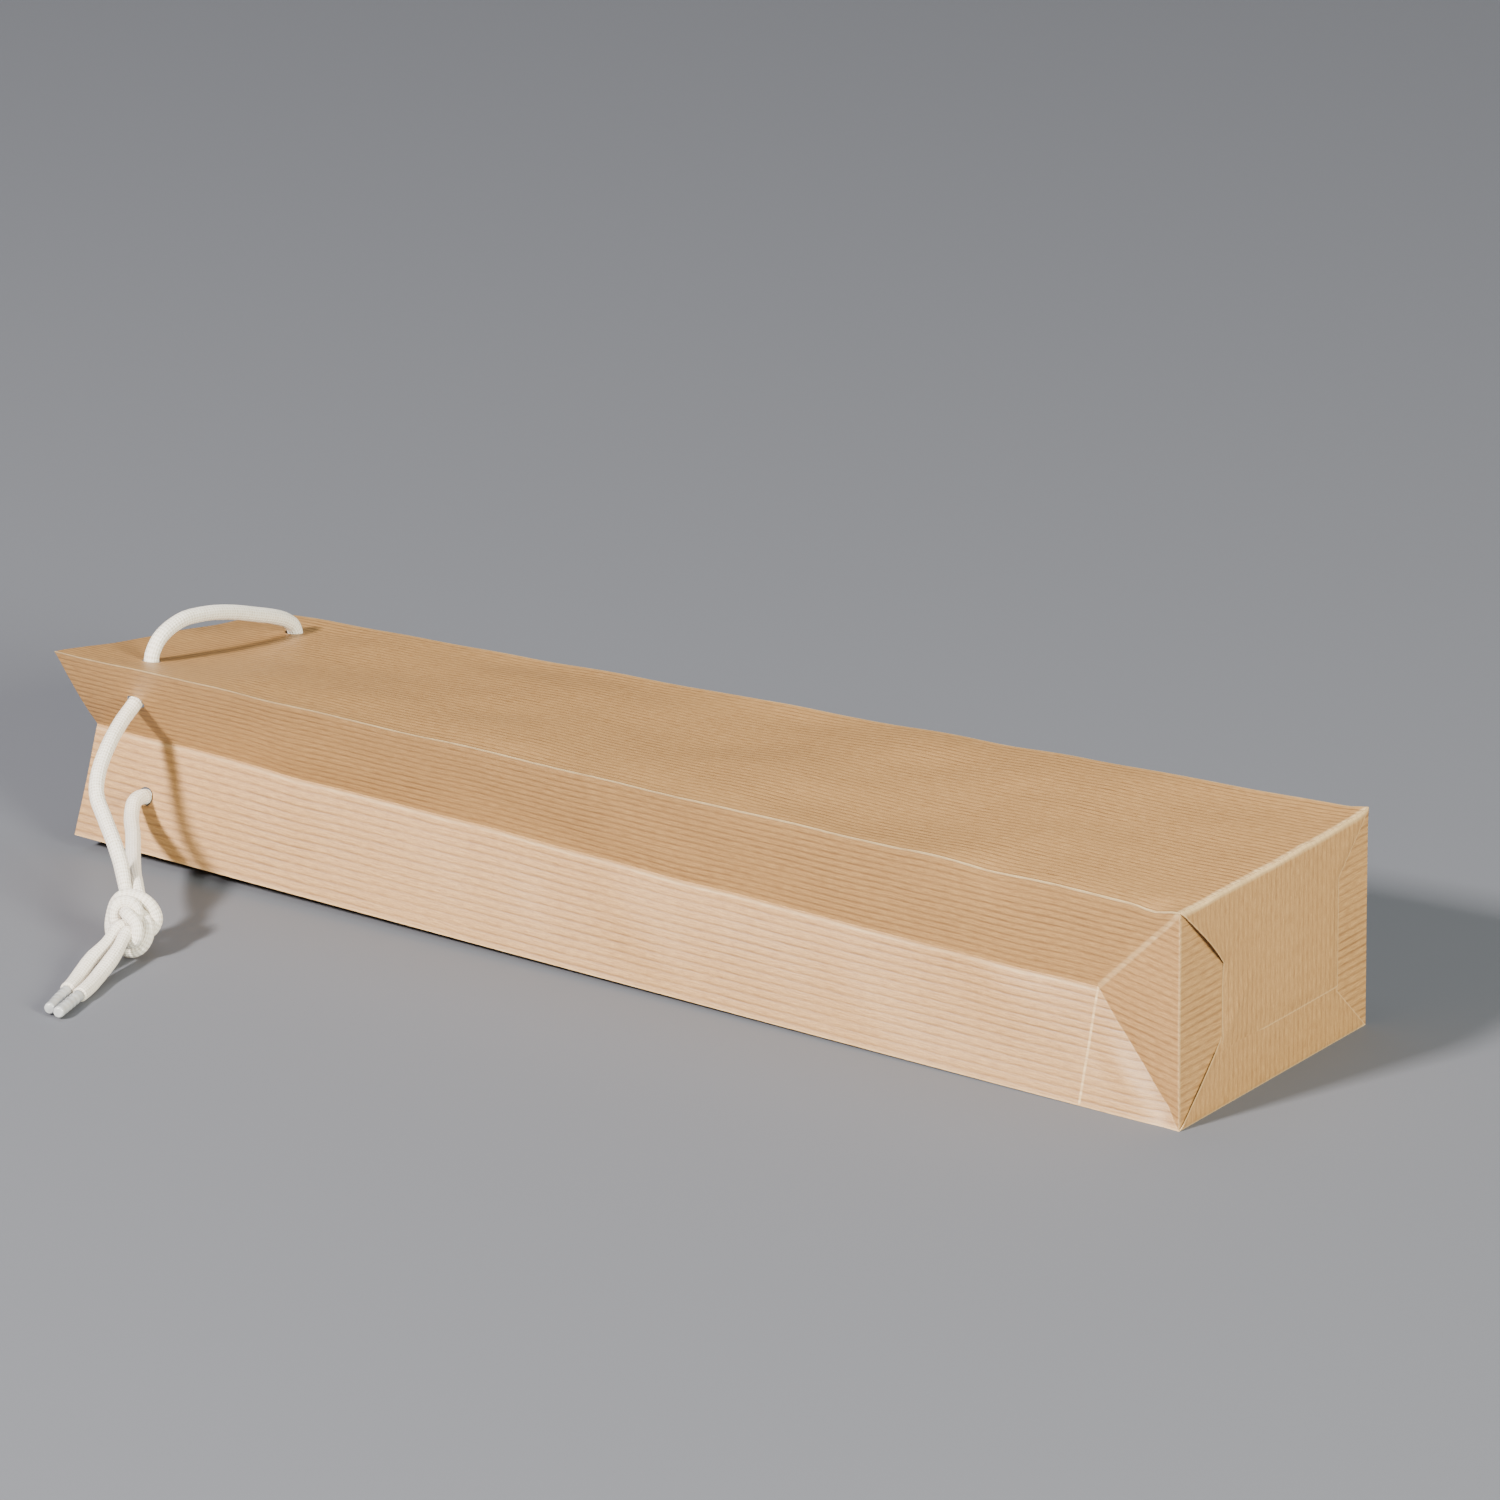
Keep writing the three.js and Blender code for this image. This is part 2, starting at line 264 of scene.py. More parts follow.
def smooth_line(points, step):
    """A centripetal Catmull-Rom curve through the points, cut at about every step."""
    p = np.array(points, float)
    p = np.vstack([2 * p[0] - p[1], p, 2 * p[-1] - p[-2]])
    line = []
    for i in range(len(p) - 3):
        a, b, c, d = p[i:i + 4]
        t0 = 0.0
        t1 = t0 + np.linalg.norm(b - a) ** 0.5
        t2 = t1 + np.linalg.norm(c - b) ** 0.5
        t3 = t2 + np.linalg.norm(d - c) ** 0.5
        pieces = max(2, int(np.linalg.norm(c - b) / step))
        for t in np.linspace(t1, t2, pieces, endpoint=False):
            ab = (t1 - t) / (t1 - t0) * a + (t - t0) / (t1 - t0) * b
            bc = (t2 - t) / (t2 - t1) * b + (t - t1) / (t2 - t1) * c
            cd = (t3 - t) / (t3 - t2) * c + (t - t2) / (t3 - t2) * d
            abc = (t2 - t) / (t2 - t0) * ab + (t - t0) / (t2 - t0) * bc
            bcd = (t3 - t) / (t3 - t1) * bc + (t - t1) / (t3 - t1) * cd
            line.append((t2 - t) / (t2 - t1) * abc + (t - t1) / (t2 - t1) * bcd)
    line.append(p[-2])
    return np.array(line)


def settle(lines):
    """Pushes the strands in and near the knot apart until they only touch, off the table."""
    points = np.vstack(lines)
    strand = np.concatenate([np.full(len(line), k) for k, line in enumerate(lines)])
    along = np.concatenate([
        np.concatenate([[0.0], np.cumsum(np.linalg.norm(np.diff(line, axis=0), axis=1))])
        for line in lines
    ])
    apart = np.abs(along[:, None] - along[None, :]) > NEIGHBOURS_APART
    apart |= strand[:, None] != strand[None, :]
    reach = np.linalg.norm(points - np.array(KNOT_CENTRE), axis=1)
    free = np.clip((KNOT_REACH - reach) / FREE_FADE, 0.0, 1.0)[:, None]
    radius = cord_radius(points)
    touching = TOUCHING * (radius[:, None] + radius[None, :])
    inner = np.zeros(len(points), bool)
    inner[1:-1] = (strand[1:-1] == strand[:-2]) & (strand[1:-1] == strand[2:])
    for _ in range(SETTLE_ROUNDS):
        between = points[:, None, :] - points[None, :, :]
        gap = np.linalg.norm(between, axis=2) + TINY
        push = np.where(apart & (gap < touching), (touching - gap) / gap, 0.0)
        move = PUSH_SHARE * (push[:, :, None] * between).sum(axis=1)
        length = np.linalg.norm(move, axis=1, keepdims=True)
        points += free * move * np.minimum(1.0, LONGEST_PUSH / (length + TINY))
        middle = (points[:-2] + points[2:]) / 2 - points[1:-1]
        points[1:-1] += SMOOTHING * free[1:-1] * inner[1:-1, None] * middle
        height = points[:, 2]
        lifted = np.maximum(height, RESTING_HEIGHT)
        points[:, 2] = np.where(reach < KNOT_REACH, lifted, height)
    count = len(lines[0])
    return points[:count], points[count:]


def ease(line):
    """Opens the bends that are too tight for the squeezed cord to take without a fold."""
    for _ in range(EASE_ROUNDS):
        before, here, after = line[:-2], line[1:-1], line[2:]
        doubled_area = np.linalg.norm(np.cross(here - before, after - before), axis=1)
        sides = np.linalg.norm(here - before, axis=1) * np.linalg.norm(after - here, axis=1)
        sides = sides * np.linalg.norm(after - before, axis=1)
        tight = (sides / (2 * doubled_area + TINY) < TIGHTEST_BEND)[:, None]
        line[1:-1] += EASE_SHARE * tight * ((before + after) / 2 - here)
    return line


def new_object(name, vertices, faces, material):
    mesh = bpy.data.meshes.new(name)
    mesh.from_pydata([tuple(v) for v in vertices], [], faces)
    mesh.materials.append(material)
    piece = bpy.data.objects.new(name, mesh)
    bpy.context.scene.collection.objects.link(piece)
    return piece


def tube(name, line, radius_at, sides, material):
    """A closed tube along a line of drawn points, with its length and turn in a UV map."""
    frames = []
    tangent = line[1] - line[0]
    side = Vector(tangent).orthogonal().normalized()
    along = 0.0
    for i, centre in enumerate(line):
        tangent = Vector(line[min(i + 1, len(line) - 1)] - line[max(i - 1, 0)]).normalized()
        side = (side - side.dot(tangent) * tangent).normalized()
        if i:
            along += float(np.linalg.norm(centre - line[i - 1]))
        frames.append((Vector(centre), side.copy(), tangent.cross(side), along))
    vertices = []
    for centre, side, other, along in frames:
        radius = radius_at(along)
        for k in range(sides):
            angle = 2 * math.pi * k / sides
            point = centre + radius * (math.cos(angle) * side + math.sin(angle) * other)
            vertices.append(world(point))
    faces, marks = [], []
    for i in range(len(line) - 1):
        for k in range(sides):
            after = (k + 1) % sides
            low, high = i * sides, (i + 1) * sides
            faces.append((low + k, low + after, high + after, high + k))
            u0, u1 = frames[i][3], frames[i + 1][3]
            v0, v1 = k / sides, (k + 1) / sides
            marks.append([(u0, v0), (u0, v1), (u1, v1), (u1, v0)])
    for ring, order in ((0, -1), (len(line) - 1, 1)):
        faces.append(tuple(ring * sides + k for k in range(sides))[::order])
        marks.append([(frames[ring][3], k / sides) for k in range(sides)][::order])
    piece = new_object(name, vertices, faces, material)
    layer = piece.data.uv_layers.new(name="cord_uv")
    layer.data.foreach_set("uv", [x for face in marks for uv in face for x in uv])
    for polygon in piece.data.polygons:
        polygon.use_smooth = len(polygon.vertices) == 4
    return piece


# Node materials. Colours are red, green, blue and alpha.

FIBRE_DARK = (0.352, 0.178, 0.057, 1.0)
FIBRE_PALE = (0.563, 0.324, 0.120, 1.0)
BLOTCH = (0.437, 0.231, 0.083, 1.0)
GROOVE = (0.215, 0.096, 0.026, 1.0)
# The next colour is the pale colour of folds and creases: partly worn paper, partly a painted
# highlight where the rounded folds catch the light.
WORN_PALE_AND_HIGHLIGHT = (0.70, 0.500, 0.260, 1.0)
GRAIN_SHADE = (0.80, 0.79, 0.77, 1.0)
WHITE = (1.0, 1.0, 1.0, 1.0)
# Cord colours: the first is painted shade in the braid's hollows, the last painted light on its
# ridges.
COTTON_HOLLOW_PAINTED_SHADE = (0.560, 0.480, 0.385, 1.0)
COTTON = (0.865, 0.815, 0.735, 1.0)
COTTON_RIDGE_PAINTED_LIGHT = (0.915, 0.880, 0.820, 1.0)
FILM_DARK = (0.370, 0.385, 0.400, 1.0)
FILM_PALE = (0.520, 0.535, 0.545, 1.0)
FLOOR_GREY = (0.141, 0.148, 0.172, 1.0)
SKY = (0.80, 0.82, 0.85, 1.0)
SKY_STRENGTH = 0.07
WEAVE_TURNS = 8.0
WEAVE_PER_MM = 0.45

def node_material(name):
    material = bpy.data.materials.new(name)
    material.use_nodes = True
    return material, material.node_tree.nodes, material.node_tree.links


def math_node(nodes, links, operation, *values):
    node = nodes.new("ShaderNodeMath")
    node.operation = operation
    for i, value in enumerate(values):
        if isinstance(value, (int, float)):
            node.inputs[i].default_value = value
        else:
            links.new(value, node.inputs[i])
    return node.outputs[0]


def mix_colours(nodes, links, share, low, high, blend="MIX"):
    node = nodes.new("ShaderNodeMix")
    node.data_type = "RGBA"
    node.blend_type = blend
    for socket, value in ((node.inputs[0], share), (node.inputs[6], low), (node.inputs[7], high)):
        if isinstance(value, (int, float, tuple)):
            socket.default_value = value
        else:
            links.new(value, socket)
    return node.outputs[2]


def ramp(nodes, links, value, stops):
    node = nodes.new("ShaderNodeValToRGB")
    links.new(value, node.inputs[0])
    while len(node.color_ramp.elements) < len(stops):
        node.color_ramp.elements.new(0.5)
    for element, (place, colour) in zip(node.color_ramp.elements, stops):
        element.position = place
        element.color = colour
    return node.outputs[0]


def stretched_noise(nodes, links, vector, scale, size, detail=3.0):
    mapping = nodes.new("ShaderNodeMapping")
    mapping.inputs["Scale"].default_value = scale
    links.new(vector, mapping.inputs["Vector"])
    node = nodes.new("ShaderNodeTexNoise")
    node.inputs["Scale"].default_value = size
    node.inputs["Detail"].default_value = detail
    links.new(mapping.outputs[0], node.inputs["Vector"])
    return node.outputs["Fac"]


RIB_PITCH = 2.35
SHEET_WIDTH = 2 * (GUSSET_WIDTH + PANEL_WIDTH)


def pale_line(nodes, links, distance, half_width):
    """1 on a line, 0 off it, from the distance to it in millimetres."""
    node = nodes.new("ShaderNodeMapRange")
    node.interpolation_type = "SMOOTHSTEP"
    links.new(math_node(nodes, links, "ABSOLUTE", distance), node.inputs["Value"])
    node.inputs["From Min"].default_value = 0.3 * half_width
    node.inputs["From Max"].default_value = half_width
    node.inputs["To Min"].default_value = 1.0
    node.inputs["To Max"].default_value = 0.0
    return node.outputs["Result"]


def between(nodes, links, value, low, high):
    above = math_node(nodes, links, "GREATER_THAN", value, low)
    return math_node(nodes, links, "MULTIPLY", above, math_node(
        nodes, links, "LESS_THAN", value, high))


def fold_wear_and_highlight_lines(nodes, links, along, across, uneven):
    """The pale lines along the folds and creases, each with its own strength: partly worn paper,
    partly a painted highlight along the folds.
    """
    lines = []
    for place, strength, last in (
        (0.0, 0.95, BAG_LENGTH), (SHEET_WIDTH, 0.95, BAG_LENGTH),
        (GUSSET_WIDTH, 0.3, BAG_LENGTH), (GUSSET_WIDTH + PANEL_WIDTH, 0.3, BAG_LENGTH),
        (2 * GUSSET_WIDTH + PANEL_WIDTH, 0.5, BAG_LENGTH), (GUSSET_HALF + 1.0, 0.3, KINK),
    ):
        away = math_node(nodes, links, "SUBTRACT", across, place)
        line = pale_line(nodes, links, away, 0.75)
        on_body = math_node(nodes, links, "LESS_THAN", along, last)
        lines.append((math_node(nodes, links, "MULTIPLY", line, on_body), strength))
    end = math_node(nodes, links, "SUBTRACT", along, BAG_LENGTH)
    on_top = math_node(nodes, links, "GREATER_THAN", across, 2 * GUSSET_WIDTH + PANEL_WIDTH)
    top_edge = pale_line(nodes, links, end, 1.9)
    lines.append((math_node(nodes, links, "MULTIPLY", top_edge, on_top), 0.8))
    lines.append((pale_line(nodes, links, end, 0.9), 0.35))
    crease = math_node(nodes, links, "SUBTRACT", along, KINK)
    for start in (0.0, GUSSET_WIDTH + PANEL_WIDTH):
        on_lower = between(nodes, links, across, start + GUSSET_HALF, start + GUSSET_WIDTH)
        line = pale_line(nodes, links, crease, 0.55)
        lines.append((math_node(nodes, links, "MULTIPLY", line, on_lower), 0.6))
        from_middle = math_node(nodes, links, "SUBTRACT", across, start + GUSSET_HALF)
        in_zone = between(nodes, links, along, KINK, BAG_LENGTH)
        for side, half_width, strength in ((-1.0, 1.6, 0.42), (1.0, 0.7, 0.15)):
            away = math_node(nodes, links, "MULTIPLY_ADD", from_middle, side, math_node(
                nodes, links, "MULTIPLY", crease, -1.0))
            line = pale_line(nodes, links, away, half_width)
            lines.append((math_node(nodes, links, "MULTIPLY", line, in_zone), strength))
    total = None
    for line, strength in lines:
        share = math_node(nodes, links, "MULTIPLY", line, strength)
        total = share if total is None else math_node(nodes, links, "MAXIMUM", total, share)
    return math_node(nodes, links, "MULTIPLY", total, uneven)


def kraft_material():
    """Ribbed glazed kraft: fine ribs along the sheet, fibres, blotches, and paler folds that are
    partly worn paper and partly a painted highlight.
    """
    material, nodes, links = node_material("kraft_paper")
    shader = nodes["Principled BSDF"]
    sheet = nodes.new("ShaderNodeUVMap")
    sheet.uv_map = "sheet"
    parts = nodes.new("ShaderNodeSeparateXYZ")
    links.new(sheet.outputs[0], parts.inputs[0])
    wobble = stretched_noise(nodes, links, sheet.outputs[0], (0.02, 0.25, 1.0), 1.0, 2.0)
    across = math_node(nodes, links, "ADD", parts.outputs["Y"], math_node(
        nodes, links, "MULTIPLY", math_node(nodes, links, "SUBTRACT", wobble, 0.5), 0.9))
    phase = math_node(nodes, links, "MULTIPLY", across, 2 * math.pi / RIB_PITCH)
    wave = math_node(nodes, links, "SINE", phase)
    wave = math_node(nodes, links, "MULTIPLY_ADD", wave, 0.5, 0.5)
    groove = math_node(nodes, links, "POWER", wave, 3.2)
    patch = stretched_noise(nodes, links, sheet.outputs[0], (0.02, 0.06, 1.0), 1.0, 3.0)
    dashes = stretched_noise(nodes, links, sheet.outputs[0], (0.16, 0.9, 1.0), 1.0, 4.0)
    strength = math_node(nodes, links, "MULTIPLY_ADD", patch, 1.0, 0.1)
    strength = math_node(nodes, links, "MULTIPLY", strength, math_node(
        nodes, links, "MULTIPLY_ADD", dashes, 2.2, 0.0))
    on_flap = math_node(nodes, links, "MULTIPLY", math_node(
        nodes, links, "GREATER_THAN", parts.outputs["X"], BAG_LENGTH), math_node(
        nodes, links, "GREATER_THAN", parts.outputs["Y"], GUSSET_WIDTH))
    strength = math_node(nodes, links, "MULTIPLY", strength, math_node(
        nodes, links, "MULTIPLY_ADD", on_flap, -0.4, 1.0))
    groove_dark = math_node(nodes, links, "MULTIPLY", groove, strength)
    fibres = stretched_noise(nodes, links, sheet.outputs[0], (0.30, 2.4, 1.0), 1.0, 6.0)
    grain = stretched_noise(nodes, links, sheet.outputs[0], (1.3, 4.5, 1.0), 1.0, 3.0)
    blotches = stretched_noise(nodes, links, sheet.outputs[0], (0.05, 0.07, 1.0), 1.0, 4.0)
    base = ramp(nodes, links, fibres, [
        (0.30, FIBRE_DARK),
        (0.70, FIBRE_PALE),
    ])
    base = mix_colours(nodes, links, math_node(nodes, links, "MULTIPLY", blotches, 0.35), base,
                       BLOTCH)
    base = mix_colours(nodes, links, math_node(nodes, links, "MULTIPLY", groove_dark, 0.80), base,
                       GROOVE)
    base = mix_colours(nodes, links, 1.0, base, ramp(nodes, links, grain, [
        (0.3, GRAIN_SHADE),
        (0.7, WHITE),
    ]), "MULTIPLY")
    uneven = math_node(nodes, links, "MULTIPLY_ADD", dashes, 2.6, -0.4)
    # The pale fold colour, from the lines and from the mesh attribute: worn paper and a painted
    # highlight along the folds' rounded edges.
    fold_wear_and_highlight = nodes.new("ShaderNodeAttribute")
    fold_wear_and_highlight.attribute_name = "fold_wear_and_highlight"
    lines = fold_wear_and_highlight_lines(nodes, links, parts.outputs["X"], parts.outputs["Y"], uneven)
    pale = math_node(nodes, links, "MAXIMUM", lines, fold_wear_and_highlight.outputs["Fac"])
    pale = math_node(nodes, links, "MINIMUM", pale, 1.0)
    base = mix_colours(nodes, links, pale, base, WORN_PALE_AND_HIGHLIGHT)
    links.new(base, shader.inputs["Base Color"])
    rough = math_node(nodes, links, "MULTIPLY_ADD", fibres, 0.20, 0.42)
    links.new(rough, shader.inputs["Roughness"])
    shader.inputs["Specular IOR Level"].default_value = 0.75
    bump = nodes.new("ShaderNodeBump")
    bump.inputs["Strength"].default_value = 0.6
    bump.inputs["Distance"].default_value = 0.00016
    height = math_node(nodes, links, "MULTIPLY_ADD", groove_dark, -1.0, math_node(
        nodes, links, "MULTIPLY", fibres, 0.6))
    height = math_node(nodes, links, "MULTIPLY_ADD", grain, 0.3, height)
    links.new(height, bump.inputs["Height"])
    links.new(bump.outputs[0], shader.inputs["Normal"])
    return material


def cord_material():
    """Off-white cotton, woven round and round as a fine braid, with painted shade in its hollows
    and painted light on its ridges.
    """
    material, nodes, links = node_material("cotton_cord")
    shader = nodes["Principled BSDF"]
    mark = nodes.new("ShaderNodeUVMap")
    mark.uv_map = "cord_uv"
    parts = nodes.new("ShaderNodeSeparateXYZ")
    links.new(mark.outputs[0], parts.inputs[0])
    turns = math_node(nodes, links, "MULTIPLY", parts.outputs["Y"], WEAVE_TURNS)
    along = math_node(nodes, links, "MULTIPLY", parts.outputs["X"], WEAVE_PER_MM)
    one = math_node(nodes, links, "SINE", math_node(
        nodes, links, "MULTIPLY", math_node(nodes, links, "ADD", turns, along), 2 * math.pi))
    other = math_node(nodes, links, "SINE", math_node(
        nodes, links, "MULTIPLY", math_node(nodes, links, "SUBTRACT", turns, along), 2 * math.pi))
    weave = math_node(nodes, links, "MULTIPLY", one, other)
    weave = math_node(nodes, links, "MULTIPLY_ADD", weave, 0.5, 0.5)
    place = nodes.new("ShaderNodeTexCoord")
    fuzz = nodes.new("ShaderNodeTexNoise")
    fuzz.inputs["Scale"].default_value = 900.0
    fuzz.inputs["Detail"].default_value = 4.0
    links.new(place.outputs["Object"], fuzz.inputs["Vector"])
    shade = math_node(nodes, links, "MULTIPLY_ADD", fuzz.outputs["Fac"], 0.5, math_node(
        nodes, links, "MULTIPLY", weave, 0.5))
    # The ramp paints shade into the braid's hollows and light onto its ridges, with random fuzz on
    # top.
    base = ramp(nodes, links, shade, [
        (0.15, COTTON_HOLLOW_PAINTED_SHADE),
        (0.55, COTTON),
        (0.95, COTTON_RIDGE_PAINTED_LIGHT),
    ])
    links.new(base, shader.inputs["Base Color"])
    shader.inputs["Roughness"].default_value = 0.88
    shader.inputs["Specular IOR Level"].default_value = 0.2
    shader.inputs["Sheen Weight"].default_value = 0.25
    bump = nodes.new("ShaderNodeBump")
    bump.inputs["Strength"].default_value = 0.8
    bump.inputs["Distance"].default_value = 0.0004
    links.new(shade, bump.inputs["Height"])
    links.new(bump.outputs[0], shader.inputs["Normal"])
    return material


def sleeve_material():
    """Cloudy clear film shrunk round the cord's end."""
    material, nodes, links = node_material("clear_plastic")
    shader = nodes["Principled BSDF"]
    place = nodes.new("ShaderNodeTexCoord")
    cloud = nodes.new("ShaderNodeTexNoise")
    cloud.inputs["Scale"].default_value = 260.0
    links.new(place.outputs["Object"], cloud.inputs["Vector"])
    base = ramp(nodes, links, cloud.outputs["Fac"], [
        (0.3, FILM_DARK),
        (0.7, FILM_PALE),
    ])
    links.new(base, shader.inputs["Base Color"])
    shader.inputs["Roughness"].default_value = 0.22
    shader.inputs["Coat Weight"].default_value = 0.4
    shader.inputs["Coat Roughness"].default_value = 0.12
    return material


cotton = cord_material()
film = sleeve_material()
kraft = kraft_material()

# The cord and its sleeves

CORD_SIDES = 20
LINE_STEP = 0.8
AGLET_LENGTH = 14.0
AGLET_RADIUS = 1.75
AGLET_GAP = 0.3
TIP_ROUNDING = 0.7
SOFT_END = 0.6
END_SHARE = 0.86


def cord_piece(name, line, soft_ends):
    places = np.concatenate([[0.0], np.cumsum(np.linalg.norm(np.diff(line, axis=0), axis=1))])
    radii = cord_radius(line)
    total = float(places[-1])

    def radius_at(along):
        radius = float(np.interp(along, places, radii))
        if soft_ends and total - along < SOFT_END:
            return radius * mix(END_SHARE, 1.0, (total - along) / SOFT_END)
        return radius

    piece = tube(name, line, radius_at, CORD_SIDES, cotton)
    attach(piece, "root")
    return piece, total * MM


def sleeve(name, tail, node):
    end, before = Vector(tail[-1]), Vector(tail[-2])
    along = (end - before)
    along.z = 0.0
    along.normalize()
    places = [AGLET_GAP + AGLET_LENGTH * i / 40 for i in range(41)]
    line = np.array([tuple(end + along * d) for d in places])

    def radius_at(at):
        crimp = 0.07 * math.sin(at * 2.6) * math.exp(-((at - 5.0) / 6.0) ** 2)
        rounding = max(0.0, 1.0 - (AGLET_LENGTH - at) / TIP_ROUNDING)
        return (AGLET_RADIUS - 0.08 + crimp) * math.sqrt(max(0.0, 1.0 - 0.45 * rounding ** 2))

    piece = tube(name, line, radius_at, 32, film)
    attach(piece, "root")
    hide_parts(node)
    return piece


def make_cord():
    left = HELD_STRETCH[:1] + LEFT_STRAND[::-1] + knot_strand(-1) + LEFT_TAIL
    right = HELD_STRETCH[-1:] + RIGHT_STRAND + knot_strand(1) + RIGHT_TAIL
    whole = left[::-1] + HELD_STRETCH[1:-1] + right
    line = smooth_line(whole, LINE_STEP)
    first = int(np.argmin(np.linalg.norm(line - np.array(HELD_STRETCH[0]), axis=1)))
    last = int(np.argmin(np.linalg.norm(line - np.array(HELD_STRETCH[-1]), axis=1)))
    held = line[first:last + 1]
    thinned = [
        np.vstack([settled_line[:-1:SETTLED_EVERY], settled_line[-1:]])
        for settled_line in settle([line[:first + 1][::-1], line[last:]])
    ]
    left_line, right_line = (ease(smooth_line(points, LINE_STEP)) for points in thinned)
    sleeves = [
        sleeve("aglet_left_sleeve", LEFT_TAIL, "aglet_left"),
        sleeve("aglet_right_sleeve", RIGHT_TAIL, "aglet_right"),
    ]
    piece, length = cord_piece("handle_cord_held", held, False)
    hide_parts("handle_cord")
    for name, own, on_it, nodes in (
        ("handle_cord_left_end", left_line, sleeves[0], ("cord_tail_left", "cord_knot")),
        ("handle_cord_right_end", right_line, sleeves[1], ("cord_tail_right",)),
    ):
        piece, length = cord_piece(name, own, True)
        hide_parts(*nodes)


make_cord()

# The bag's paper

ZONE_STEPS = 12
SHEET_STEP = GUSSET_HALF / ZONE_STEPS
BODY_STEPS = round(KINK / SHEET_STEP)
PANEL_STEPS = 36


def underside(x):
    share = (BAG_LENGTH - x) / (BAG_LENGTH - HOLE_FROM_MOUTH)
    return UNDERSIDE_AT_HOLES * share ** UNDERSIDE_POWER


def skewed(x, y):
    return x + (1 - x / BAG_LENGTH) * MOUTH_SKEW * y / PANEL_WIDTH


def gusset_fold(top, bottom, inwards, extra):
    chord = top - bottom
    depth = math.sqrt(max(GUSSET_HALF ** 2 - (np.linalg.norm(chord) / 2) ** 2, 0.0)) + extra
    normal = np.array([chord[1], -chord[0]]) / np.linalg.norm(chord) * inwards
    return (top + bottom) / 2 + normal * depth


# How much further in the near gusset's fold lies at its end than flat paper would have it
APEX_EXTRA = 2.0


def folds(x):
    """The six folds at one place along the bag, as (y, z)."""
    share = x / BAG_LENGTH
    near_top = np.array([
        mix(-NEAR_FLARE, 0.0, share),
        mix(NEAR_MOUTH_HEIGHT, BLOCK_HEIGHT, share),
    ])
    far_top = np.array([
        mix(PANEL_WIDTH - FAR_PULL_IN, PANEL_WIDTH, share),
        mix(FAR_MOUTH_HEIGHT, BLOCK_HEIGHT, share),
    ])
    near_bottom = np.array([0.0, underside(x)])
    far_bottom = np.array([PANEL_WIDTH, underside(x)])
    extra = APEX_EXTRA * share ** 3
    near_fold = gusset_fold(near_top, near_bottom, 1, extra)
    far_fold = gusset_fold(far_top, far_bottom, -1, extra)
    return near_top, near_fold, near_bottom, far_bottom, far_fold, far_top


def gusset_row(top, fold, bottom, opening):
    """Points down one gusset. opening goes from 0 where it is folded in to 1 where it is flat."""
    steps = 2 * ZONE_STEPS
    upper_end = round(ZONE_STEPS * (1 - opening))
    lower_start = steps - upper_end
    flat_top = np.array([top[0], BLOCK_HEIGHT]) if opening else top
    flat_bottom = np.array([bottom[0], 0.0]) if opening else bottom
    first = fold + opening * (flat_top - fold)
    second = fold + opening * (flat_bottom - fold)
    row = []
    for k in range(steps + 1):
        if k < upper_end:
            row.append(mix(top, first, k / upper_end))
        elif k <= lower_start:
            span = max(lower_start - upper_end, 1)
            row.append(mix(first, second, (k - upper_end) / span))
        else:
            row.append(mix(second, bottom, (k - lower_start) / (steps - lower_start)))
    return row


def station(i):
    """The ring of points at one place along the bag: near gusset, bottom, far gusset, top."""
    in_zone = max(i - BODY_STEPS, 0)
    x = KINK * min(i, BODY_STEPS) / BODY_STEPS + GUSSET_HALF * in_zone / ZONE_STEPS
    opening = in_zone / ZONE_STEPS
    near_top, near_fold, near_bottom, far_bottom, far_fold, far_top = folds(x)
    if opening:
        _, near_fold, _, _, far_fold, _ = folds(KINK)
    near = gusset_row(near_top, near_fold, near_bottom, opening)
    far = gusset_row(far_top, far_fold, far_bottom, opening)[::-1]
    floor = [mix(near_bottom, far_bottom, k / PANEL_STEPS) for k in range(PANEL_STEPS + 1)]
    roof = [mix(far_top, near_top, k / PANEL_STEPS) for k in range(PANEL_STEPS + 1)]
    ring = near[:-1] + floor[:-1] + far[:-1] + roof[:-1]
    return x, ring


GUSSET_STEPS = 2 * ZONE_STEPS
CORNERS = [0, GUSSET_STEPS, GUSSET_STEPS + PANEL_STEPS, 2 * GUSSET_STEPS + PANEL_STEPS]
RING_COUNT = 2 * (GUSSET_STEPS + PANEL_STEPS)
PANEL_STARTS = [0.0, GUSSET_WIDTH, GUSSET_WIDTH + PANEL_WIDTH, 2 * GUSSET_WIDTH + PANEL_WIDTH]


def sheet_across(j):
    """How far round the sheet the ring's point lies, in millimetres."""
    if j < CORNERS[1]:
        return GUSSET_WIDTH * j / GUSSET_STEPS
    if j < CORNERS[2]:
        return PANEL_STARTS[1] + PANEL_WIDTH * (j - CORNERS[1]) / PANEL_STEPS
    if j < CORNERS[3]:
        return PANEL_STARTS[2] + GUSSET_WIDTH * (j - CORNERS[2]) / GUSSET_STEPS
    return PANEL_STARTS[3] + PANEL_WIDTH * (j - CORNERS[3]) / PANEL_STEPS


def bump_at(distance, width):
    return math.exp(-(distance / width) ** 2)


def soft_noise(x, y, size, seed):
    return noise.noise(Vector((x / size, y / size, seed)))


